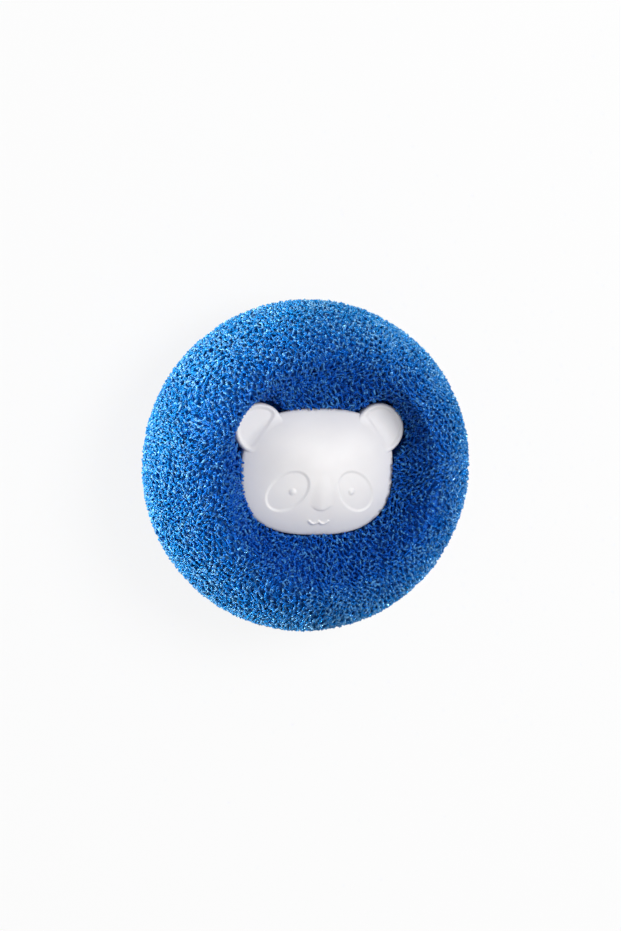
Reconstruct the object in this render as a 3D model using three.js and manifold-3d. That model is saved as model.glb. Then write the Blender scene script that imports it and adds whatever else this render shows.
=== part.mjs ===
// Pet hair laundry ball: a ring of coarse open-cell foam pinched between two hollow moulded panda heads.
// Each head is a face shell closed by a back plate, and both plates plug into one spindle through the foam.
// Millimetres, +Z up. The ball lies on its rear side: the origin is the middle of the ring that it rests on,
// +Z is the ball's axis, out of the front face, and +Y points to the front face's ears.
import * as THREE from "three";
import { mergeVertices } from "three/addons/utils/BufferGeometryUtils.js";
import Module from "manifold-3d";

const wasm = await Module();
wasm.setup();

// Driving dimensions. Heights in a half are above the ball's mid-plane, towards that half's face.
const GAP = 0.3;
const BALL = { diameter: 90, thickness: 42, crestDiameter: 62, restCut: 0.5, segments: 60 };
const FOAM = { wallTopZ: 10.3, floorRound: 0.5, innerFullness: 1.4, outerFullness: 2 };
const FOAM_STEPS = { inner: 5, outer: 7 };
const DIMPLE = { headGap: 0.4, mouthDiameter: 50, nookAngle: 0.08, nookSteps: 4 };
const HEAD = { width: 43.6, height: 34.6, squareness: 2.6, centreY: -0.6, segments: 48 };
const DOME = { backZ: 6, rimZ: 9.4, apexZ: 15.5, edge: 0.8, draft: 0.35, rings: 8, hollowRings: 5 };
const WALL = { side: 2.2, roof: 1.6, lip: 0.9, ledgeZ: 7.9 };
const EAR = { x: 17.3, y: 11.2, radius: 7, backZ: 7.4, rimZ: 10.3, edge: 0.6, segments: 28 };
const EAR_PAD = { z: 9.8, rimWidth: 1.2, chord: 1.2, segments: 20 };
const EYE_PATCH = { x: 9.7, y: -5.4, length: 12.6, width: 9, tilt: Math.PI / 4, depth: 0.4, segments: 30 };
const EYE = { x: 8.5, y: -5.5, diameter: 2, proud: 0.5 };
const NOSE = { y: -9.2, width: 4.4, height: 2.8, proud: 0.6 };
const BEAD = { around: 14, along: 8 };
const MOUTH = { y: -13.8, width: 5.4, drop: 0.8, thickness: 0.8, steps: 6 };
const PLATE = { thickness: 1.6, ribs: 6, ribWidth: 1.2, ribHeight: 0.6, ribReach: 12 };
const PLUG = { radius: 4.9, bore: 3.4, length: 5, chamfer: 0.6, crushRibs: 6, crushRibHeight: 0.3 };
const SPINDLE = { radius: 7, bore: 5.5, stopBore: 3.6, stopThickness: 1.4, foamGap: 0.4, segments: 32 };

const MID_Z = BALL.thickness / 2;
const CREST_RADIUS = BALL.crestDiameter / 2;
const PLATE_TOP_Z = DOME.backZ + PLATE.thickness;
const LIP_INSET = DOME.draft + WALL.lip;
const OVERCUT = 1;
const HALVINGS = 24;
const TURN = Math.PI * 2;

const WHITE_PLASTIC = { color: 0xe9e8ec, roughness: 0.35, metalness: 0 };
const PALE_PLASTIC = { color: 0xd9d9de, roughness: 0.5, metalness: 0 };
const BLUE_FOAM = { color: 0x2c72b9, roughness: 0.9, metalness: 0 };

// A closed geometry as a solid for joins and cuts. Triangles that have shrunk to a line on the axis go.
function toSolid(geometry) {
  const bare = geometry.clone();
  bare.deleteAttribute("normal");
  bare.deleteAttribute("uv");
  const merged = mergeVertices(bare, 1e-4);
  const corners = merged.index.array;
  const triVerts = [];
  for (let i = 0; i < corners.length; i += 3) {
    const [a, b, c] = corners.slice(i, i + 3);
    if (a !== b && b !== c && c !== a) {
      triVerts.push(a, b, c);
    }
  }
  const vertProperties = new Float32Array(merged.attributes.position.array);
  const mesh = new wasm.Mesh({ numProp: 3, vertProperties, triVerts: new Uint32Array(triVerts) });
  return new wasm.Manifold(mesh);
}

function toGeometry(solid) {
  const mesh = solid.getMesh();
  const geometry = new THREE.BufferGeometry();
  geometry.setAttribute("position", new THREE.BufferAttribute(mesh.vertProperties, 3));
  geometry.setIndex(new THREE.BufferAttribute(mesh.triVerts, 1));
  geometry.computeVertexNormals();
  return geometry;
}

function joined(solids) {
  return solids.reduce((sum, solid) => sum.add(solid));
}

// A solid of revolution about Z, from points [radius, z] that run up the outside.
function revolved(points, segments) {
  const profile = points.map(([radius, z]) => new THREE.Vector2(radius, z));
  return new THREE.LatheGeometry(profile, segments).rotateX(Math.PI / 2);
}

function cylinder(radius, lowZ, highZ, segments) {
  return revolved([[0, lowZ], [radius, lowZ], [radius, highZ], [0, highZ]], segments);
}

// The head's outline is a superellipse: the norm is 1 on it, and less inside it.
function outlineNorm(x, y, inset = 0) {
  const across = Math.abs(x) / (HEAD.width / 2 - inset);
  const along = Math.abs(y - HEAD.centreY) / (HEAD.height / 2 - inset);
  return (across ** HEAD.squareness + along ** HEAD.squareness) ** (1 / HEAD.squareness);
}

// The dome is a shallow paraboloid over the outline.
function domeHeight(norm, rimZ, apexZ) {
  return rimZ + (apexZ - rimZ) * (1 - norm * norm);
}

function faceHeight(x, y) {
  return domeHeight(outlineNorm(x, y), DOME.rimZ, DOME.apexZ);
}

// Stretches a revolved solid of radius 1 onto the head's outline, drawn in by the inset all round.
function ontoOutline(geometry, inset) {
  const position = geometry.attributes.position;
  for (let i = 0; i < position.count; i += 1) {
    const x = position.getX(i);
    const y = position.getY(i);
    const radius = Math.hypot(x, y);
    const reach = radius > 0 ? radius / outlineNorm(x, y + HEAD.centreY, inset) : 0;
    position.setXY(i, x * reach, y * reach + HEAD.centreY);
  }
  return geometry;
}

// A domed block on the head's outline: straight sides from lowZ, a bevelled edge, then a dome up to apexZ.
function domedBlock(inset, draft, lowZ, rimZ, apexZ, rings) {
  const halfWidth = HEAD.width / 2;
  const points = [[0, lowZ], [1 - draft / halfWidth, lowZ], [1, rimZ - DOME.edge / 2]];
  for (let ring = 0; ring < rings; ring += 1) {
    const norm = (1 - DOME.edge / halfWidth) * (1 - ring / rings);
    points.push([norm, domeHeight(norm, rimZ, apexZ)]);
  }
  points.push([0, apexZ]);
  return toSolid(ontoOutline(revolved(points, HEAD.segments), inset));
}

function outlineSlab(inset, lowZ, highZ) {
  return toSolid(ontoOutline(cylinder(1, lowZ, highZ, HEAD.segments), inset));
}

// The sunk pad of an ear: a round inside the rim, cut off by a chord where the rim runs along the head.
function earPad(side) {
  const radius = EAR.radius - EAR_PAD.rimWidth;
  const towardsHead = Math.atan2(HEAD.centreY - EAR.y, -side * EAR.x);
  const halfChord = Math.acos(EAR_PAD.chord / radius);
  const outline = new THREE.Shape();
  outline.absarc(0, 0, radius, towardsHead + halfChord, towardsHead - halfChord + TURN);
  const options = { depth: OVERCUT, curveSegments: EAR_PAD.segments, bevelEnabled: false };
  const pad = new THREE.ExtrudeGeometry(outline, options);
  return toSolid(pad.translate(side * EAR.x, EAR.y, EAR_PAD.z));
}

// An ear is a disc with round edges, and a rim about its pad.
function ear(side) {
  const { radius, backZ, rimZ, edge } = EAR;
  const round = edge * (1 - Math.SQRT1_2);
  const disc = revolved([
    [0, backZ],
    [radius - edge, backZ],
    [radius, backZ + edge],
    [radius, rimZ - edge],
    [radius - round, rimZ - round],
    [radius - edge, rimZ],
    [0, rimZ],
  ], EAR.segments);
  return toSolid(disc.translate(side * EAR.x, EAR.y, 0)).subtract(earPad(side));
}

// Each ear is cored out from behind to the wall's thickness, outside the head's own wall.
function earCore(side, head) {
  const { radius, backZ } = EAR;
  const core = cylinder(radius - WALL.lip, backZ - OVERCUT, EAR_PAD.z - WALL.lip, EAR_PAD.segments);
  return toSolid(core.translate(side * EAR.x, EAR.y, 0)).subtract(head);
}

// The tool that sinks an eye patch: a tilted oval column, less the dome lowered by the patch's depth.
function eyePatchCutter(side, loweredHead) {
  const column = cylinder(1, DOME.rimZ, DOME.apexZ + OVERCUT, EYE_PATCH.segments);
  column.scale(EYE_PATCH.length / 2, EYE_PATCH.width / 2, 1).rotateZ(-side * EYE_PATCH.tilt);
  return toSolid(column.translate(side * EYE_PATCH.x, EYE_PATCH.y, 0)).subtract(loweredHead);
}

// An oval bead half sunk in the face, for the eyes and the nose.
function bead(x, y, width, height, proud, sink) {
  const oval = new THREE.SphereGeometry(1, BEAD.around, BEAD.along).rotateX(TURN / 4);
  oval.scale(width / 2, height / 2, proud);
  return toSolid(oval.translate(x, y, faceHeight(x, y) - sink));
}

// The mouth is two shallow arcs side by side. Each is a raised bead along the face.
function mouthArc(side) {
  const points = [];
  for (let step = 0; step <= MOUTH.steps; step += 1) {
    const along = step / MOUTH.steps;
    const x = (side * along * MOUTH.width) / 2;
    const y = MOUTH.y - MOUTH.drop * Math.sin(along * Math.PI);
    points.push(new THREE.Vector3(x, y, faceHeight(x, y)));
  }
  const section = new THREE.Shape().absarc(0, 0, MOUTH.thickness / 2, 0, TURN);
  const extrudePath = new THREE.CatmullRomCurve3(points);
  const options = { steps: MOUTH.steps, curveSegments: 4, bevelEnabled: false, extrudePath };
  return toSolid(new THREE.ExtrudeGeometry(section, options));
}

// The face shell: a hollow dome with ears, and a lip at its open back that the plate drops into.
function faceShell() {
  const { backZ, rimZ, apexZ, draft, rings, hollowRings } = DOME;
  const head = domedBlock(0, draft, backZ, rimZ, apexZ, rings);
  const loweredHead = domedBlock(0, draft, backZ, rimZ - EYE_PATCH.depth, apexZ - EYE_PATCH.depth, rings);
  const openZ = backZ - OVERCUT;
  const hollow = domedBlock(WALL.side, 0, openZ, rimZ - WALL.roof / 2, apexZ - WALL.roof, hollowRings);
  const lip = outlineSlab(LIP_INSET, openZ, WALL.ledgeZ);
  let shell = joined([head, ear(-1), ear(1)]);
  for (const side of [-1, 1]) {
    shell = shell.subtract(earCore(side, head)).subtract(eyePatchCutter(side, loweredHead));
    shell = shell.add(bead(side * EYE.x, EYE.y, EYE.diameter, EYE.diameter, EYE.proud, EYE_PATCH.depth));
  }
  const nose = bead(0, NOSE.y, NOSE.width, NOSE.height, NOSE.proud, 0);
  shell = joined([shell, nose, mouthArc(-1), mouthArc(1)]);
  return toGeometry(shell.subtract(hollow).subtract(lip));
}

// One crush rib down the plug's side, which grips the spindle's bore.
function crushRib(angle) {
  const length = PLUG.length - 2 * PLUG.chamfer;
  const rib = cylinder(PLUG.crushRibHeight, DOME.backZ - length, DOME.backZ + GAP, 6);
  return toSolid(rib.translate(PLUG.radius, 0, 0).rotateZ(angle));
}

// One stiffening rib on the plate's inner side, out from the plug's bore.
function stiffeningRib(angle) {
  const rib = new THREE.BoxGeometry(PLATE.ribReach, PLATE.ribWidth, PLATE.ribHeight + PLATE.thickness);
  rib.translate(PLATE.ribReach / 2, 0, DOME.backZ + (PLATE.ribHeight + PLATE.thickness) / 2);
  return toSolid(rib.rotateZ(angle));
}

// The back plate: a slab inside the shell's lip, stiffened by ribs, with a hollow plug towards the foam.
function backPlate() {
  const { radius, bore, length, chamfer } = PLUG;
  const endZ = DOME.backZ - length;
  const highZ = PLATE_TOP_Z + PLATE.ribHeight + OVERCUT;
  const nose = [[0, endZ], [radius - chamfer, endZ], [radius, endZ + chamfer]];
  const plug = revolved([...nose, [radius, PLATE_TOP_Z], [0, PLATE_TOP_Z]], SPINDLE.segments);
  const pieces = [outlineSlab(LIP_INSET + GAP, DOME.backZ, PLATE_TOP_Z), toSolid(plug)];
  for (let i = 0; i < PLUG.crushRibs; i += 1) {
    pieces.push(crushRib((i / PLUG.crushRibs) * TURN));
  }
  for (let i = 0; i < PLATE.ribs; i += 1) {
    pieces.push(stiffeningRib((i / PLATE.ribs) * TURN));
  }
  const hole = toSolid(cylinder(bore, endZ - OVERCUT, highZ, SPINDLE.segments));
  return toGeometry(joined(pieces).subtract(hole));
}

// The spindle: a tube with a stop ring half-way, so that both plugs go in equally far.
function spindle() {
  const { radius, bore, stopBore } = SPINDLE;
  const endZ = DOME.backZ - GAP;
  const stopZ = SPINDLE.stopThickness / 2;
  const outside = [[bore, -endZ], [radius, -endZ], [radius, endZ], [bore, endZ]];
  const inside = [[bore, stopZ], [stopBore, stopZ], [stopBore, -stopZ], [bore, -stopZ], [bore, -endZ]];
  return revolved([...outside, ...inside], SPINDLE.segments);
}

// How far the head with its ears reaches from the ball's axis in one direction.
function headReach(angle) {
  const cos = Math.cos(angle);
  const sin = Math.sin(angle);
  let inside = 0;
  let outside = BALL.diameter / 2;
  for (let step = 0; step < HALVINGS; step += 1) {
    const middle = (inside + outside) / 2;
    const x = Math.abs(cos * middle);
    const y = sin * middle;
    if (outlineNorm(x, y) < 1 || Math.hypot(x - EAR.x, y - EAR.y) < EAR.radius) {
      inside = middle;
    } else {
      outside = middle;
    }
  }
  return inside;
}

// The foam hugs the head, but is too stiff to fill the nooks beside the ears.
function dimpleReach(angle) {
  const { headGap, nookAngle, nookSteps } = DIMPLE;
  let reach = 0;
  for (let step = -nookSteps; step <= nookSteps; step += 1) {
    reach = Math.max(reach, headReach(angle + (step / nookSteps) * nookAngle));
  }
  return reach + headGap;
}

// Half of the foam's section, from its centre hole over the crest to its widest, for a round dimple. The
// crest stands above the ball's thickness by the cut, and is cut flat there.
function foamHalfSection(holeRadius, dimpleRadius, cut) {
  const { wallTopZ, floorRound, innerFullness, outerFullness } = FOAM;
  const floorZ = DOME.backZ - GAP;
  const crestZ = MID_Z + cut;
  const outerWidth = BALL.diameter / 2 - CREST_RADIUS;
  const innerEnd = Math.asin(((MID_Z - wallTopZ) / (crestZ - wallTopZ)) ** (innerFullness / 2));
  const outerStart = Math.asin((MID_Z / crestZ) ** (outerFullness / 2));
  const points = [[holeRadius, floorZ], [dimpleRadius - floorRound, floorZ]];
  points.push([dimpleRadius, floorZ + floorRound]);
  for (let step = 0; step <= FOAM_STEPS.inner; step += 1) {
    const turn = (step / FOAM_STEPS.inner) * innerEnd;
    const radius = CREST_RADIUS - (CREST_RADIUS - dimpleRadius) * Math.cos(turn) ** (2 / innerFullness);
    points.push([radius, wallTopZ + (crestZ - wallTopZ) * Math.sin(turn) ** (2 / innerFullness)]);
  }
  for (let step = cut > 0 ? 0 : 1; step <= FOAM_STEPS.outer; step += 1) {
    const turn = (1 - step / FOAM_STEPS.outer) * outerStart;
    const radius = CREST_RADIUS + outerWidth * Math.cos(turn) ** (2 / outerFullness);
    points.push([radius, crestZ * Math.sin(turn) ** (2 / outerFullness)]);
  }
  return points;
}

// Moves a point of the round section in or out. The dimple hugs the head, and widens to a round mouth.
function drawnRadius(radius, angle, z, holeRadius, dimpleRadius) {
  if (radius >= CREST_RADIUS) {
    return radius;
  }
  const reach = dimpleReach(angle);
  if (radius < dimpleRadius) {
    return holeRadius + ((radius - holeRadius) * (reach - holeRadius)) / (dimpleRadius - holeRadius);
  }
  const rise = Math.max(0, (Math.abs(z) - EAR.rimZ) / (MID_Z - EAR.rimZ));
  const eased = reach + Math.max(0, DIMPLE.mouthDiameter / 2 - reach) * rise;
  return CREST_RADIUS - ((CREST_RADIUS - radius) * (CREST_RADIUS - eased)) / (CREST_RADIUS - dimpleRadius);
}

// The foam ring: a revolved section, cut flat where it rests, with a dimple on each side for a head.
function spongeRing() {
  const holeRadius = SPINDLE.radius + SPINDLE.foamGap;
  const dimpleRadius = HEAD.width / 2;
  const upper = foamHalfSection(holeRadius, dimpleRadius, 0).reverse();
  const resting = foamHalfSection(holeRadius, dimpleRadius, BALL.restCut);
  const lower = resting.slice(0, -1).map(([radius, z]) => [radius, -z]);
  const geometry = revolved([...lower, ...upper, lower[0]], BALL.segments);
  const position = geometry.attributes.position;
  for (let i = 0; i < position.count; i += 1) {
    const x = position.getX(i);
    const y = position.getY(i);
    const radius = Math.hypot(x, y);
    const drawn = drawnRadius(radius, Math.atan2(y, x), position.getZ(i), holeRadius, dimpleRadius);
    position.setXY(i, (x * drawn) / radius, (y * drawn) / radius);
  }
  return geometry;
}

function named(name, geometry, look) {
  const mesh = new THREE.Mesh(geometry, new THREE.MeshStandardMaterial(look));
  mesh.name = name;
  return mesh;
}

// One half of the ball: a face shell and its back plate.
function half(prefix) {
  const group = new THREE.Group();
  group.add(named(`${prefix}_face_shell`, faceShell(), WHITE_PLASTIC));
  group.add(named(`${prefix}_back_plate`, backPlate(), PALE_PLASTIC));
  return group;
}

const ball = new THREE.Group();
const rearHalf = half("rear");
rearHalf.rotation.y = TURN / 2;
ball.add(half("front"), rearHalf);
ball.add(named("spindle", spindle(), PALE_PLASTIC));
ball.add(named("sponge_ring", spongeRing(), BLUE_FOAM));
ball.position.z = MID_Z;

const part = new THREE.Group();
part.add(ball);

export default part;
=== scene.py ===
import math

import bpy
import numpy as np
from mathutils import Matrix, Vector
from mathutils.bvhtree import BVHTree


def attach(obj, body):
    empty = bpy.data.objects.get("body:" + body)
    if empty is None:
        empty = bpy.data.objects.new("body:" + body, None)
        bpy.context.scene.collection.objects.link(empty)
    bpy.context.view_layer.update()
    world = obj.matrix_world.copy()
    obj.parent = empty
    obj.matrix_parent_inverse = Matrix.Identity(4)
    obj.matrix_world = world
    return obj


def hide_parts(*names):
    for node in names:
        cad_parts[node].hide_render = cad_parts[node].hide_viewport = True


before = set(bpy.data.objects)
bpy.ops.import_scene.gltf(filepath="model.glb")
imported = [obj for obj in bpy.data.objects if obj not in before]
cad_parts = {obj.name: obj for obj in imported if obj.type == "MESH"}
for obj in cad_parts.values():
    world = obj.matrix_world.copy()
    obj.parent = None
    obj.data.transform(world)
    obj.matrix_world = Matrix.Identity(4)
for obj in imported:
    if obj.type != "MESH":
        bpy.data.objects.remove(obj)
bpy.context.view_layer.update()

MM = 0.001
TURN = 2 * math.pi
TINY = 1e-6
SEED = 7

# The photograph's frame and how the ball lies in it. The ball's axis leans to the right and down.
IMAGE_HEIGHT = 931
MM_PER_PIXEL = 0.2725
PIXELS_LEFT_OF_MIDDLE = 4.4
PIXELS_ABOVE_MIDDLE = 0.2
LEAN_RIGHT = math.radians(19.15)
LEAN_DOWN = math.radians(7.17)
CAMERA_DISTANCE = 2
CAMERA_CLIP = 0.01

# The ball, in millimetres, at the CAD model's sizes with softer edges. Heights in a half are above MID_Z.
MID_Z = 21
BALL_RADIUS = 45
HEAD = {"width": 43.6, "height": 34.6, "squareness": 2.6, "centre_y": -0.6}
DOME = {"back_z": 6, "rim_z": 9.4, "apex_z": 15.5, "edge": 0.8, "back_edge": 0.2, "draft": 0.35}
WALL = {"side": 2.2, "roof": 1.6, "lip": 0.9, "ledge_z": 7.9}
EAR = {"x": 17.3, "y": 11.2, "radius": 7, "back_z": 7.4, "rim_z": 10.3}
EAR_EDGE = {"front": 0.9, "back": 0.6, "fillet": 0.8, "below_dome": 0.02}
EAR_PAD = {"depth": 0.5, "rim_width": 1.2, "chord": 1.2, "edge": 1, "corner": 1.5}
EYE_PATCH = {"x": 9.7, "y": -5.4, "length": 12.6, "width": 9, "tilt": TURN / 8, "depth": 0.4, "edge": 0.9}
EYE = {"x": 8.5, "y": -5.5, "radius": 1, "proud": 0.4}
NOSE = {"y": -9.2, "width": 2.8, "height": 2.8, "power": 0.45, "proud": 0.5}
BRIDGE = {"from_y": -11, "span": 2, "width": 7, "height": 18, "power": 2}
MOUTH = {"y": -13.8, "width": 5.4, "drop": 0.8, "radius": 0.4, "points": 61}
BEAD_POWER = 0.8

# How finely the heads are drawn.
HEAD_SEGMENTS = 320
FACE_RINGS = 140
EDGE_RINGS = 8
INNER_RINGS = 24
EAR_SEGMENTS = 144
EAR_RINGS = 48

# The foam, in millimetres and radians: the edges of packed cells, in a layer over a core. The block of cells
# is tilted and bent by waves, each given as its length and height, and then cut to the ball.
CELL = 2.1
CELL_TILT_X = 0.7
CELL_TILT_Y = 0.5
CELL_WAVES = ((31, 1.6), (17, 1.0), (9, 0.45))
CELL_JITTER = 0.2
BLOCK_REACH = 66
BLOCK_MARGIN = 2
STRUT_RADIUS = 0.29
STRUT_SPREAD = (0.8, 1.25)
STEEP = 0.8
LAYER = 1.9
FUZZ = 0.45
HEAD_COVER = {"reach": 0.75, "lean": 0.2, "fade_in": 0.4, "top_z": 13, "fade_out": 1.6, "radius": 29}
CORE_DEPTH = 1.5
CORE_SMOOTHING = 2
CORE_WELD = 0.01
# Where the paler colours of painted light on the foam's outer flank begin to come in.
LIT_FLANK_FROM_RADIUS = 29

# A strut is a three-sided bar with its own cell of a square UV map, so the map limits the struts of a piece.
BAR_CORNERS = 6
BAR_FACES = ((0, 1, 4, 3), (1, 2, 5, 4), (2, 0, 3, 5), (0, 2, 1), (3, 4, 5))
BAR_UV = ((0.1, 0.1), (0.5, 0.2), (0.9, 0.1), (0.1, 0.8), (0.5, 0.9), (0.9, 0.8))
UV_NAME = "OFBake"
UV_CELLS = 154
STRUTS_PER_PIECE = UV_CELLS ** 2

# The light, in metres. The strips have narrow beams, to light the foam's side and not a pulled-out head.
WORLD_STRENGTH = 0.48
FLOOR = {"reach": 3, "grey": 0.8, "roughness": 0.9, "white_share": 0.88}
STRIP = {"distance": 0.8, "width": 0.4, "height": 0.056, "spread": math.radians(2.43)}
PANEL = {"distance": 0.9, "width": 0.5, "height": 0.5, "spread": math.pi}

# Sockets of a Mix node that mixes colours.
MIX_FIRST = 6
MIX_SECOND = 7
MIX_RESULT = 2


def smooth_step(t):
    t = np.clip(t, 0, 1)
    return t * t * (3 - 2 * t)


# The greater of two heights, with the crease between them filled over the given width.
def smooth_max(a, b, width):
    near = np.maximum(width - np.abs(a - b), 0) / width
    return np.maximum(a, b) + near * near * width / 4


def between(first, last, share):
    return first + (last - first) * share


def new_object(name, data):
    made = bpy.data.objects.new(name, data)
    bpy.context.scene.collection.objects.link(made)
    return made


def set_smooth(mesh):
    mesh.polygons.foreach_set("use_smooth", np.ones(len(mesh.polygons), dtype=bool))


# Makes the shape that a piece's modifiers give into its own smooth mesh.
def apply_modifiers(piece):
    bpy.context.view_layer.update()
    evaluated = piece.evaluated_get(bpy.context.evaluated_depsgraph_get())
    mesh = bpy.data.meshes.new_from_object(evaluated)
    mesh.name = piece.name
    piece.modifiers.clear()
    piece.data = mesh
    set_smooth(mesh)


def set_material(piece, material):
    piece.data.materials.clear()
    piece.data.materials.append(material)


# A closed mesh from rings of points, drawn together to a point at both ends.
def ringed_mesh(name, first_point, rings, last_point):
    segments = len(rings[0])
    points = np.concatenate([[first_point], *rings, [last_point]])
    turn = np.arange(segments)
    following = (turn + 1) % segments
    faces = [(0, 1 + a, 1 + b) for a, b in zip(turn.tolist(), following.tolist())]
    for ring in range(len(rings) - 1):
        low = 1 + ring * segments
        high = low + segments
        quads = np.stack([low + turn, high + turn, high + following, low + following], axis=1)
        faces.extend(map(tuple, quads.tolist()))
    last = len(points) - 1
    low = last - segments
    faces.extend((last, low + b, low + a) for a, b in zip(turn.tolist(), following.tolist()))
    mesh = bpy.data.meshes.new(name)
    mesh.from_pydata((points * MM).tolist(), [], faces)
    set_smooth(mesh)
    return mesh


# The head's outline, drawn in by the inset all round, as one ring of points (x, y).
def outline_ring(inset):
    angle = np.linspace(0, TURN, HEAD_SEGMENTS, endpoint=False)
    across = np.abs(np.cos(angle)) / (HEAD["width"] / 2 - inset)
    along = np.abs(np.sin(angle)) / (HEAD["height"] / 2 - inset)
    power = HEAD["squareness"]
    reach = (across ** power + along ** power) ** (-1 / power)
    return np.stack([reach * np.cos(angle), reach * np.sin(angle)], axis=1)


def head_ring(inset, scale, z):
    outline = outline_ring(inset) * scale + (0, HEAD["centre_y"])
    return np.column_stack([outline, np.broadcast_to(z, len(outline))])


# The dome is a shallow paraboloid. Its norm is 0 in the middle of the outline and 1 on it.
def dome_height(norm, rim_z, apex_z):
    return rim_z + (apex_z - rim_z) * (1 - norm * norm)


def plain_face_height(x, y):
    power = HEAD["squareness"]
    across = np.abs(x) / (HEAD["width"] / 2)
    along = np.abs(y - HEAD["centre_y"]) / (HEAD["height"] / 2)
    norm = (across ** power + along ** power) ** (1 / power)
    return dome_height(norm, DOME["rim_z"], DOME["apex_z"])


# How far a point is outside an oval, roughly, near its edge.
def oval_distance(across, along, half_width, half_height):
    norm = np.hypot(across / half_width, along / half_height)
    norm = np.maximum(norm, TINY)
    slope = np.hypot(across / half_width ** 2, along / half_height ** 2) / norm
    return (norm - 1) / np.maximum(slope, TINY)


def eye_patch_depth(x, y):
    depth = np.zeros_like(x)
    half_length = EYE_PATCH["length"] / 2
    half_width = EYE_PATCH["width"] / 2
    for side in (-1, 1):
        cos = math.cos(-side * EYE_PATCH["tilt"])
        sin = math.sin(-side * EYE_PATCH["tilt"])
        dx = x - side * EYE_PATCH["x"]
        dy = y - EYE_PATCH["y"]
        outside = oval_distance(dx * cos + dy * sin, dy * cos - dx * sin, half_length, half_width)
        depth += EYE_PATCH["depth"] * smooth_step(0.5 - outside / EYE_PATCH["edge"])
    return depth


# A round bump, 1 high in the middle. A lower power gives it a steeper edge.
def bump(norm, power):
    return np.maximum(0, 1 - norm ** 2) ** power


# The nose has a round lower edge, and runs out above into a wide, soft bridge.
def nose_bump(x, y):
    above = smooth_step((y - BRIDGE["from_y"]) / BRIDGE["span"])
    half_width = between(NOSE["width"], BRIDGE["width"], above) / 2
    half_height = between(NOSE["height"], BRIDGE["height"], above) / 2
    norm = np.hypot(x / half_width, (y - NOSE["y"]) / half_height)
    return bump(norm, between(NOSE["power"], BRIDGE["power"], above))


# The mouth is a line that dips once on each side.
def mouth_distance(x, y):
    nearest = np.full_like(x, np.inf)
    for along in np.linspace(-1, 1, MOUTH["points"]):
        drop = MOUTH["drop"] * math.sin(abs(along) * math.pi)
        point_x = along * MOUTH["width"] / 2
        nearest = np.minimum(nearest, np.hypot(x - point_x, y - MOUTH["y"] + drop))
    return nearest


# What the face adds to the plain dome: sunk eye patches, and raised eyes, nose and mouth.
def face_relief(x, y):
    relief = -eye_patch_depth(x, y)
    eye = np.hypot(np.abs(x) - EYE["x"], y - EYE["y"]) / EYE["radius"]
    relief += EYE["proud"] * bump(eye, BEAD_POWER)
    relief += NOSE["proud"] * nose_bump(x, y)
    relief += MOUTH["radius"] * bump(mouth_distance(x, y) / MOUTH["radius"], BEAD_POWER)
    return relief


# The face, from its middle to where its edge begins to turn down.
def face_rings(edge_norm):
    rings = []
    for ring in range(1, FACE_RINGS + 1):
        norm = edge_norm * ring / FACE_RINGS
        points = head_ring(0, norm, dome_height(norm, DOME["rim_z"], DOME["apex_z"]))
        points[:, 2] += face_relief(points[:, 0], points[:, 1])
        rings.append(points)
    return rings


# The rounded edge of the face.
def edge_rings(edge_norm):
    rings = []
    edge_z = dome_height(edge_norm, DOME["rim_z"], DOME["apex_z"])
    for ring in range(1, EDGE_RINGS + 1):
        t = ring / EDGE_RINGS
        norm = (1 - t) ** 2 * edge_norm + (2 - t) * t
        fall = (1 - t) ** 2 * (edge_z - DOME["rim_z"]) - t * t * DOME["edge"] / 2
        rings.append(head_ring(0, norm, DOME["rim_z"] + fall))
    return rings


# The drafted side, the lip round the back plate, and the ledge that the plate sits on.
def lip_rings():
    lip_inset = DOME["draft"] + WALL["lip"]
    return [
        head_ring(DOME["draft"], 1, DOME["back_z"] + DOME["back_edge"]),
        head_ring(DOME["draft"] + DOME["back_edge"], 1, DOME["back_z"]),
        head_ring(lip_inset, 1, DOME["back_z"]),
        head_ring(lip_inset, 1, WALL["ledge_z"]),
        head_ring(WALL["side"], 1, WALL["ledge_z"]),
    ]


# The roof of the hollow, from the wall to the middle.
def hollow_rings(apex_z):
    rim_z = DOME["rim_z"] - WALL["roof"] / 2
    rings = []
    for ring in range(INNER_RINGS):
        norm = 1 - ring / INNER_RINGS
        rings.append(head_ring(WALL["side"], norm, dome_height(norm, rim_z, apex_z)))
    return rings


# The hollow head without its ears.
def head_mesh(name):
    edge_norm = 1 - DOME["edge"] / (HEAD["width"] / 2)
    hollow_apex_z = DOME["apex_z"] - WALL["roof"]
    rings = face_rings(edge_norm) + edge_rings(edge_norm) + lip_rings() + hollow_rings(hollow_apex_z)
    first = (0, HEAD["centre_y"], DOME["apex_z"])
    last = (0, HEAD["centre_y"], hollow_apex_z)
    return ringed_mesh(name, first, rings, last)


# The front of an ear: a round edge, and a sunk pad cut off by a chord on the side of the head. Over the head
# it runs into the dome, and follows it just below.
def ear_front_z(radius, x, y, side):
    to_head = Vector((-side * EAR["x"], HEAD["centre_y"] - EAR["y"])).normalized()
    past_rim = radius - EAR["radius"] + EAR_PAD["rim_width"]
    past_chord = x * to_head.x + y * to_head.y - EAR_PAD["chord"]
    beyond = smooth_max(past_rim, past_chord, EAR_PAD["corner"])
    sunk = EAR_PAD["depth"] * smooth_step(0.5 - beyond / EAR_PAD["edge"])
    over = max(0, radius - EAR["radius"] + EAR_EDGE["front"]) / EAR_EDGE["front"]
    fall = EAR_EDGE["front"] * (1 - math.sqrt(1 - over * over))
    dome = plain_face_height(x + side * EAR["x"], y + EAR["y"]) - EAR_EDGE["below_dome"]
    return smooth_max(EAR["rim_z"] - sunk - fall, dome, EAR_EDGE["fillet"])


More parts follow.
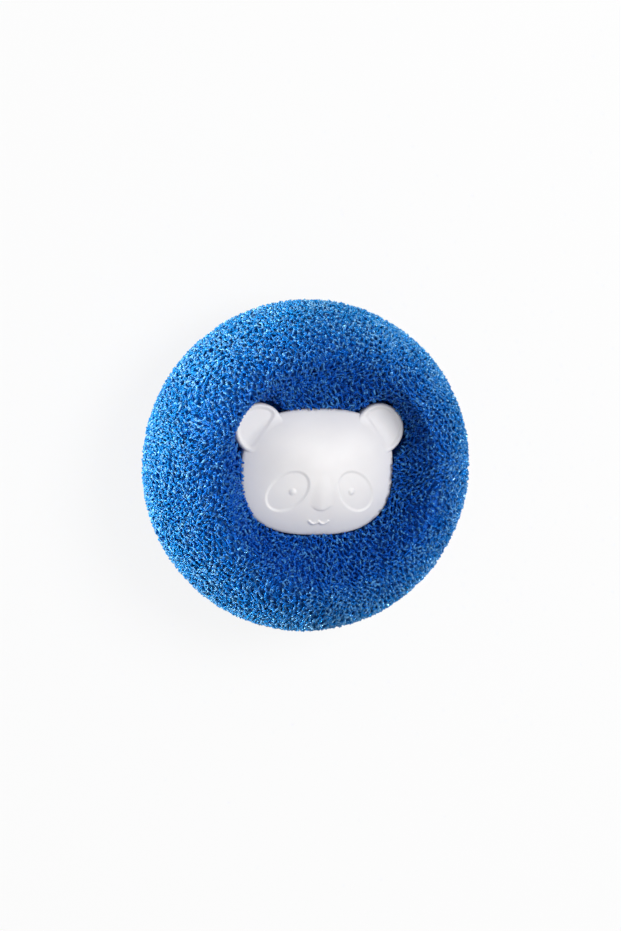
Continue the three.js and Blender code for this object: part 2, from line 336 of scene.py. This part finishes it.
# An ear as a closed disc. Its back edge is rounded in two steps.
def ear_mesh(name, side):
    angle = np.linspace(0, TURN, EAR_SEGMENTS, endpoint=False)
    cos = np.cos(angle)
    sin = np.sin(angle)
    rings = []
    for ring in range(1, EAR_RINGS + 1):
        radius = EAR["radius"] * ring / EAR_RINGS
        x = radius * cos
        y = radius * sin
        rings.append(np.column_stack([x, y, ear_front_z(radius, x, y, side)]))
    for inset, rise in ((0, 1), (0.3, 0.3), (1, 0)):
        radius = EAR["radius"] - inset * EAR_EDGE["back"]
        z = np.full_like(cos, EAR["back_z"] + rise * EAR_EDGE["back"])
        rings.append(np.column_stack([radius * cos, radius * sin, z]))
    centre = np.array((side * EAR["x"], EAR["y"], 0))
    rings = [ring + centre for ring in rings]
    first = centre + (0, 0, rings[0][:, 2].mean())
    last = centre + (0, 0, EAR["back_z"])
    return ringed_mesh(name, first, rings, last)


def join_by_boolean(piece, tools):
    for tool in tools:
        step = piece.modifiers.new("join", "BOOLEAN")
        step.operation = "UNION"
        step.solver = "MANIFOLD"
        step.object = tool
    apply_modifiers(piece)
    for tool in tools:
        bpy.data.objects.remove(tool)


# One head with its ears, turned about Y to look out of the front or the rear of the ball.
def make_head(name, node, body, turn, material):
    head = new_object(name, head_mesh(name))
    ears = [new_object("ear", ear_mesh("ear", side)) for side in (-1, 1)]
    join_by_boolean(head, ears)
    head.data.transform(Matrix.Translation((0, 0, MID_Z * MM)) @ Matrix.Rotation(turn, 4, "Y"))
    set_material(head, material)
    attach(head, body)
    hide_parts(node)


# Edges of packed truncated octahedra that fill a block, as points and pairs of points. In quarters of a
# cell, a corner has one coordinate that is a multiple of 4, one that is 2 more than that, and one odd one.
def packed_cell_edges():
    quarter = CELL / 4
    count = math.ceil(BLOCK_REACH / quarter)
    axis = np.arange(-count, count + 1)
    kind = np.select([axis % 4 == 0, axis % 4 == 2], [1, 10], 100)
    total = kind[:, None, None] + kind[None, :, None] + kind[None, None, :]
    corner = np.argwhere(total == 111)
    index = np.full(total.shape, -1, dtype=np.int64)
    index[tuple(corner.T)] = np.arange(len(corner))
    pairs = []
    for offset in ((1, 1, 0), (1, -1, 0), (1, 0, 1), (1, 0, -1), (0, 1, 1), (0, 1, -1)):
        other = corner + offset
        fits = np.all((other >= 0) & (other < len(axis)), axis=1)
        start = np.flatnonzero(fits)
        end = index[tuple(other[fits].T)]
        pairs.append(np.column_stack([start, end])[end >= 0])
    return (corner - count) * quarter, np.concatenate(pairs)


# Tilts the even packing and bends it into an irregular one.
def roughened(points, random):
    tilt = Matrix.Rotation(CELL_TILT_X, 3, "X") @ Matrix.Rotation(CELL_TILT_Y, 3, "Y")
    points = points @ np.array(tilt).T
    for length, height in CELL_WAVES:
        waves = random.normal(size=(3, 3))
        waves *= TURN / length / np.linalg.norm(waves, axis=1)[:, None]
        points = points + height * np.sin(points @ waves.T + random.uniform(0, TURN, 3))
    return points + random.normal(scale=CELL_JITTER, size=points.shape)


# How far each point is outside the foam's CAD solid; not a number for those that are further than the layer.
def distance_outside(points, node):
    mesh = node.data
    corners = [node.matrix_world @ v.co / MM for v in mesh.vertices]
    tree = BVHTree.FromPolygons(corners, [tuple(p.vertices) for p in mesh.polygons])
    distance = np.full(len(points), np.nan)
    for i, point in enumerate(points.tolist()):
        place, normal, _, away = tree.find_nearest(point, LAYER)
        if place is not None:
            distance[i] = math.copysign(away, (Vector(point) - place).dot(normal))
    return distance


# How far the cells next to a head stand out over its edge, which is more on the side that the ball leans to.
def head_cover(points):
    height = np.abs(points[:, 2] - MID_Z)
    starts = smooth_step((height - EAR["rim_z"]) / HEAD_COVER["fade_in"])
    stops = smooth_step((HEAD_COVER["top_z"] - height) / HEAD_COVER["fade_out"])
    radius = np.hypot(points[:, 0], points[:, 1])
    towards_lean = (points[:, 0] - points[:, 1]) / np.maximum(radius, 1)
    reach = HEAD_COVER["reach"] + HEAD_COVER["lean"] * towards_lean
    return reach * starts * stops * (radius < HEAD_COVER["radius"])


# The struts in the foam's outer layer. Those that pass through its surface are cut off just outside it, and
# none goes below the surface that the ball lies on.
def layer_struts(node, random):
    points, pairs = packed_cell_edges()
    points = roughened(points, random) + (0, 0, MID_Z)
    radius = np.hypot(points[:, 0], points[:, 1])
    height = np.abs(points[:, 2] - MID_Z)
    near = (radius < BALL_RADIUS + BLOCK_MARGIN) & (height < MID_Z + BLOCK_MARGIN)
    distance = np.full(len(points), np.nan)
    distance[near] = distance_outside(points[near], node) - head_cover(points[near])
    start, end = pairs[~np.isnan(distance[pairs]).any(axis=1)].T
    swap = distance[start] > distance[end]
    start, end = np.where(swap, end, start), np.where(swap, start, end)
    inside = distance[start] < 0
    start, end = start[inside], end[inside]
    cut_at = random.uniform(0, FUZZ, len(start))
    span = np.maximum(distance[end] - distance[start], TINY)
    share = np.where(distance[end] > cut_at, (cut_at - distance[start]) / span, 1)
    tips = between(points[start], points[end], share[:, None])
    ends = np.stack([points[start], tips], axis=1)
    ends[:, :, 2] = np.maximum(ends[:, :, 2], STRUT_RADIUS)
    return ends


# The six corners of each strut's bar, which reaches a little past the strut's ends.
def strut_corners(ends, random):
    count = len(ends)
    along = ends[:, 1] - ends[:, 0]
    along /= np.maximum(np.linalg.norm(along, axis=1), TINY)[:, None]
    not_along = np.where(np.abs(along[:, 2:]) < STEEP, (0.0, 0.0, 1.0), (1.0, 0.0, 0.0))
    side = np.cross(along, not_along)
    side /= np.linalg.norm(side, axis=1)[:, None]
    other = np.cross(along, side)
    start_angle = random.uniform(0, TURN, count)
    radius = STRUT_RADIUS * random.uniform(*STRUT_SPREAD, count)
    corners = np.empty((count, BAR_CORNERS, 3))
    for corner in range(3):
        angle = start_angle + corner * TURN / 3
        out = (np.cos(angle) * radius)[:, None] * side + (np.sin(angle) * radius)[:, None] * other
        corners[:, corner] = ends[:, 0] - along * STRUT_RADIUS / 2 + out
        corners[:, corner + 3] = ends[:, 1] + along * STRUT_RADIUS / 2 + out
    corners[:, :, 2] = np.maximum(corners[:, :, 2], 0)
    return corners


def bars_mesh(name, corners):
    count = len(corners)
    pattern = np.concatenate(BAR_FACES)
    loops = (np.arange(count)[:, None] * BAR_CORNERS + pattern).ravel()
    sizes = np.tile([len(face) for face in BAR_FACES], count)
    mesh = bpy.data.meshes.new(name)
    mesh.vertices.add(count * BAR_CORNERS)
    mesh.vertices.foreach_set("co", (corners * MM).astype(np.float32).ravel())
    mesh.loops.add(len(loops))
    mesh.loops.foreach_set("vertex_index", loops.astype(np.int32))
    mesh.polygons.add(len(sizes))
    mesh.polygons.foreach_set("loop_start", (np.cumsum(sizes) - sizes).astype(np.int32))
    mesh.update(calc_edges=True)
    cell = np.stack([np.arange(count) % UV_CELLS, np.arange(count) // UV_CELLS], axis=1)
    uv = (cell[:, None, :] + np.array(BAR_UV)[pattern]) / UV_CELLS
    layer = mesh.uv_layers.new(name=UV_NAME)
    layer.data.foreach_set("uv", uv.astype(np.float32).ravel())
    return mesh


def declare_foam(piece, material):
    set_material(piece, material)
    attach(piece, "sponge")


# The struts, sorted round the axis into pieces like slices of a cake.
def make_struts(node, material):
    random = np.random.default_rng(SEED)
    ends = layer_struts(node, random)
    middle = ends.mean(axis=1)
    order = np.argsort(np.arctan2(middle[:, 1], middle[:, 0]))
    pieces = math.ceil(len(ends) / STRUTS_PER_PIECE)
    for number, share in enumerate(np.array_split(order, pieces), 1):
        name = f"foam_cells_{number}"
        piece = new_object(name, bars_mesh(name, strut_corners(ends[share], random)))
        declare_foam(piece, material)


# The foam's inside, which shows between the struts: the CAD solid, sunk and softened.
def make_core(node, material):
    mesh = node.data.copy()
    mesh.name = "foam_core"
    core = new_object("foam_core", mesh)
    core.matrix_world = node.matrix_world
    weld = core.modifiers.new("weld", "WELD")
    weld.merge_threshold = CORE_WELD * MM
    sink = core.modifiers.new("sink", "DISPLACE")
    sink.mid_level = 0
    sink.strength = -CORE_DEPTH * MM
    soften = core.modifiers.new("soften", "SUBSURF")
    soften.levels = CORE_SMOOTHING
    soften.render_levels = CORE_SMOOTHING
    apply_modifiers(core)
    declare_foam(core, material)
    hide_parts("sponge_ring")


def new_material(name):
    material = bpy.data.materials.new(name)
    material.use_nodes = True
    return material, material.node_tree.nodes, material.node_tree.links


# A noise with features of the given size in metres.
def add_noise(nodes, links, size, detail):
    coordinates = nodes.new("ShaderNodeTexCoord")
    noise = nodes.new("ShaderNodeTexNoise")
    noise.inputs["Scale"].default_value = 1 / size
    noise.inputs["Detail"].default_value = detail
    links.new(coordinates.outputs["Object"], noise.inputs["Vector"])
    return noise.outputs["Fac"]


# A value read between two colours, each with the value at which it is reached.
def add_ramp(nodes, links, value, positions, colours):
    ramp = nodes.new("ShaderNodeValToRGB")
    for element, position, colour in zip(ramp.color_ramp.elements, positions, colours):
        element.position = position
        element.color = (*colour, 1)
    links.new(value, ramp.inputs["Fac"])
    return ramp.outputs["Color"]


def add_bump(nodes, links, shader, height, depth, strength):
    node = nodes.new("ShaderNodeBump")
    node.inputs["Strength"].default_value = strength
    node.inputs["Distance"].default_value = depth
    links.new(height, node.inputs["Height"])
    links.new(node.outputs["Normal"], shader.inputs["Normal"])


# A satin plastic with faint patches of colour, a fine grain and, if asked for, light that passes into it.
def plastic(name, colours, grain, subsurface):
    material, nodes, links = new_material(name)
    shader = nodes["Principled BSDF"]
    patches = add_noise(nodes, links, size=0.012, detail=3)
    colour = add_ramp(nodes, links, patches, (0.3, 0.7), colours)
    links.new(colour, shader.inputs["Base Color"])
    shader.inputs["Roughness"].default_value = 0.5
    shader.inputs["IOR"].default_value = 1.5
    if subsurface > 0:
        shader.inputs["Subsurface Weight"].default_value = subsurface
        shader.inputs["Subsurface Radius"].default_value = (1, 0.9, 0.85)
        shader.inputs["Subsurface Scale"].default_value = 0.0015
    fine = add_noise(nodes, links, size=0.0004, detail=2)
    add_bump(nodes, links, shader, fine, depth=0.00002, strength=grain)
    return material


def white_plastic():
    return plastic("white_plastic", ((0.79, 0.775, 0.785), (0.84, 0.825, 0.83)), grain=0.25, subsurface=0.25)


def pale_plastic():
    return plastic("pale_plastic", ((0.62, 0.62, 0.64), (0.7, 0.7, 0.71)), grain=0.4, subsurface=0)


# How far out a point of the foam lies, from 0 in the dimple to 1 at the ball's outline. It sets how much
# painted light the foam's outer flank gets.
def add_lit_flank_share(nodes, links):
    coordinates = nodes.new("ShaderNodeTexCoord")
    across = nodes.new("ShaderNodeVectorMath")
    across.operation = "MULTIPLY"
    across.inputs[1].default_value = (1, 1, 0)
    radius = nodes.new("ShaderNodeVectorMath")
    radius.operation = "LENGTH"
    share = nodes.new("ShaderNodeMapRange")
    share.inputs["From Min"].default_value = LIT_FLANK_FROM_RADIUS * MM
    share.inputs["From Max"].default_value = BALL_RADIUS * MM
    links.new(coordinates.outputs["Object"], across.inputs[0])
    links.new(across.outputs["Vector"], radius.inputs[0])
    links.new(radius.outputs["Value"], share.inputs["Value"])
    return share.outputs["Result"]


# Two colours deep in the dimple, and two paler ones on the outside, read by the same value. The paler
# outside is painted light on the foam's lit flank.
def foam_colour_lit_on_flank(nodes, links, value, inner, lit_flank_colours):
    mix = nodes.new("ShaderNodeMix")
    mix.data_type = "RGBA"
    links.new(add_lit_flank_share(nodes, links), mix.inputs["Factor"])
    for colours, socket in ((inner, MIX_FIRST), (lit_flank_colours, MIX_SECOND)):
        links.new(add_ramp(nodes, links, value, (0.5, 1), colours), mix.inputs[socket])
    return mix.outputs[MIX_RESULT]


# Each strut has a tone of its own, by its cell of the UV map: partly the foam's own random tone, and partly
# painted glints on the palest struts.
def foam_strut_material():
    material, nodes, links = new_material("blue_foam_struts")
    shader = nodes["Principled BSDF"]
    uv = nodes.new("ShaderNodeUVMap")
    uv.uv_map = UV_NAME
    strut = nodes.new("ShaderNodeVectorMath")
    strut.operation = "SNAP"
    strut.inputs[1].default_value = (1 / UV_CELLS, 1 / UV_CELLS, 1)
    tone_and_glint = nodes.new("ShaderNodeTexWhiteNoise")
    tone_and_glint.noise_dimensions = "2D"
    links.new(uv.outputs["UV"], strut.inputs[0])
    links.new(strut.outputs["Vector"], tone_and_glint.inputs["Vector"])
    # The outer pair is paler as painted light on the flank, and the pale end of each pair is partly painted
    # glints.
    inner = ((0.0005, 0.075, 0.49), (0.07, 0.26, 0.6))
    lit_flank_colours = ((0.003, 0.17, 0.49), (0.19, 0.45, 0.73))
    colour = foam_colour_lit_on_flank(nodes, links, tone_and_glint.outputs["Value"], inner, lit_flank_colours)
    links.new(colour, shader.inputs["Base Color"])
    shader.inputs["Roughness"].default_value = 0.35
    shader.inputs["Specular IOR Level"].default_value = 0.5
    shader.inputs["Specular Tint"].default_value = (0.2, 0.9, 1, 1)
    return material


def foam_core_material():
    material, nodes, links = new_material("blue_foam_core")
    shader = nodes["Principled BSDF"]
    height = add_noise(nodes, links, size=0.0009, detail=2)
    # The core's colours are lighter than the struts' as painted light: they stand in for light that passes
    # into the foam, so the shaded ground between the struts stays mid-blue.
    inner = ((0.0005, 0.11, 0.6), (0.001, 0.15, 0.7))
    lit_flank_colours = ((0.002, 0.23, 0.64), (0.004, 0.28, 0.74))
    colour = foam_colour_lit_on_flank(nodes, links, height, inner, lit_flank_colours)
    links.new(colour, shader.inputs["Base Color"])
    shader.inputs["Roughness"].default_value = 0.8
    add_bump(nodes, links, shader, height, depth=0.001, strength=1)
    return material


# The camera's right, up and back, for a ball whose axis leans to the right and down in the frame.
def camera_axes():
    up = Vector((0, math.cos(LEAN_DOWN), -math.sin(LEAN_DOWN)))
    right_z = math.sin(LEAN_RIGHT)
    right_y = right_z * math.sin(LEAN_DOWN) / math.cos(LEAN_DOWN)
    right = Vector((math.sqrt(1 - right_y ** 2 - right_z ** 2), right_y, right_z))
    return right, up, right.cross(up)


def make_camera():
    right, up, back = camera_axes()
    data = bpy.data.cameras.new("camera")
    data.sensor_fit = "VERTICAL"
    data.angle_y = 2 * math.atan(IMAGE_HEIGHT * MM_PER_PIXEL * MM / 2 / CAMERA_DISTANCE)
    data.clip_start = CAMERA_CLIP
    camera = new_object("camera", data)
    aside = right * PIXELS_LEFT_OF_MIDDLE - up * PIXELS_ABOVE_MIDDLE
    middle = Vector((0, 0, MID_Z * MM)) + aside * MM_PER_PIXEL * MM
    turn = Matrix((right, up, back)).transposed().to_4x4()
    camera.matrix_world = Matrix.Translation(middle + back * CAMERA_DISTANCE) @ turn
    bpy.context.scene.camera = camera


# White where the camera, a reflection or a clear material looks, and plain light elsewhere.
def add_background_light(nodes, links, plain, white, output):
    path = nodes.new("ShaderNodeLightPath")
    first = nodes.new("ShaderNodeMath")
    first.operation = "MAXIMUM"
    second = nodes.new("ShaderNodeMath")
    second.operation = "MAXIMUM"
    mix = nodes.new("ShaderNodeMixShader")
    links.new(path.outputs["Is Camera Ray"], first.inputs[0])
    links.new(path.outputs["Is Glossy Ray"], first.inputs[1])
    links.new(first.outputs[0], second.inputs[0])
    links.new(path.outputs["Is Transmission Ray"], second.inputs[1])
    links.new(second.outputs[0], mix.inputs[0])
    links.new(plain, mix.inputs[1])
    links.new(white, mix.inputs[2])
    links.new(mix.outputs[0], output)


# The floor that the camera sees is mostly white. The rest of it takes the ball's shadow.
def floor_material():
    material, nodes, links = new_material("pale_floor")
    plain = nodes["Principled BSDF"]
    plain.inputs["Base Color"].default_value = (FLOOR["grey"], FLOOR["grey"], FLOOR["grey"], 1)
    plain.inputs["Roughness"].default_value = FLOOR["roughness"]
    white = nodes.new("ShaderNodeEmission")
    mostly_white = nodes.new("ShaderNodeMixShader")
    mostly_white.inputs[0].default_value = FLOOR["white_share"]
    links.new(plain.outputs[0], mostly_white.inputs[1])
    links.new(white.outputs[0], mostly_white.inputs[2])
    output = nodes["Material Output"].inputs["Surface"]
    add_background_light(nodes, links, plain.outputs[0], mostly_white.outputs[0], output)
    return material


def make_floor():
    mesh = bpy.data.meshes.new("floor")
    reach = FLOOR["reach"]
    points = [(-reach, -reach, 0), (reach, -reach, 0), (reach, reach, 0), (-reach, reach, 0)]
    mesh.from_pydata(points, [], [(0, 1, 2, 3)])
    mesh.materials.append(floor_material())
    new_object("floor", mesh)


def make_world():
    world = bpy.data.worlds.new("studio")
    world.use_nodes = True
    bpy.context.scene.world = world
    nodes = world.node_tree.nodes
    links = world.node_tree.links
    plain = nodes["Background"]
    plain.inputs["Strength"].default_value = WORLD_STRENGTH
    plain.inputs["Color"].default_value = (1, 1, 1, 1)
    white = nodes.new("ShaderNodeBackground")
    output = nodes["World Output"].inputs["Surface"]
    add_background_light(nodes, links, plain.outputs[0], white.outputs[0], output)


# A lamp that shines on the middle of the ball from the given side.
def make_light(name, kind, side, watts):
    data = bpy.data.lights.new(name, "AREA")
    data.shape = "ELLIPSE"
    data.size = kind["width"]
    data.size_y = kind["height"]
    data.energy = watts
    data.spread = kind["spread"]
    light = new_object(name, data)
    direction = Vector(side).normalized()
    light.location = Vector((0, 0, MID_Z * MM)) + direction * kind["distance"]
    light.rotation_euler = direction.to_track_quat("Z", "Y").to_euler()


make_camera()
make_floor()
make_world()
make_light("left_light", STRIP, (-1, -0.03, 0), 0.1)
make_light("far_light", STRIP, (-0.55, 1, 0), 0.043)
make_light("right_light", STRIP, (1, -0.1, 0), 0.045)
make_light("key_light", PANEL, (0.38, 0.25, 0.88), 5.4)

head_plastic = white_plastic()
make_head("front_head", "front_face_shell", "front_half", 0, head_plastic)
make_head("rear_head", "rear_face_shell", "rear_half", math.pi, head_plastic)
hidden_plastic = pale_plastic()
for hidden in ("front_back_plate", "rear_back_plate", "spindle"):
    set_material(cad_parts[hidden], hidden_plastic)
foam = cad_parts["sponge_ring"]
make_struts(foam, foam_strut_material())
make_core(foam, foam_core_material())

bpy.context.scene.view_settings.view_transform = "Standard"
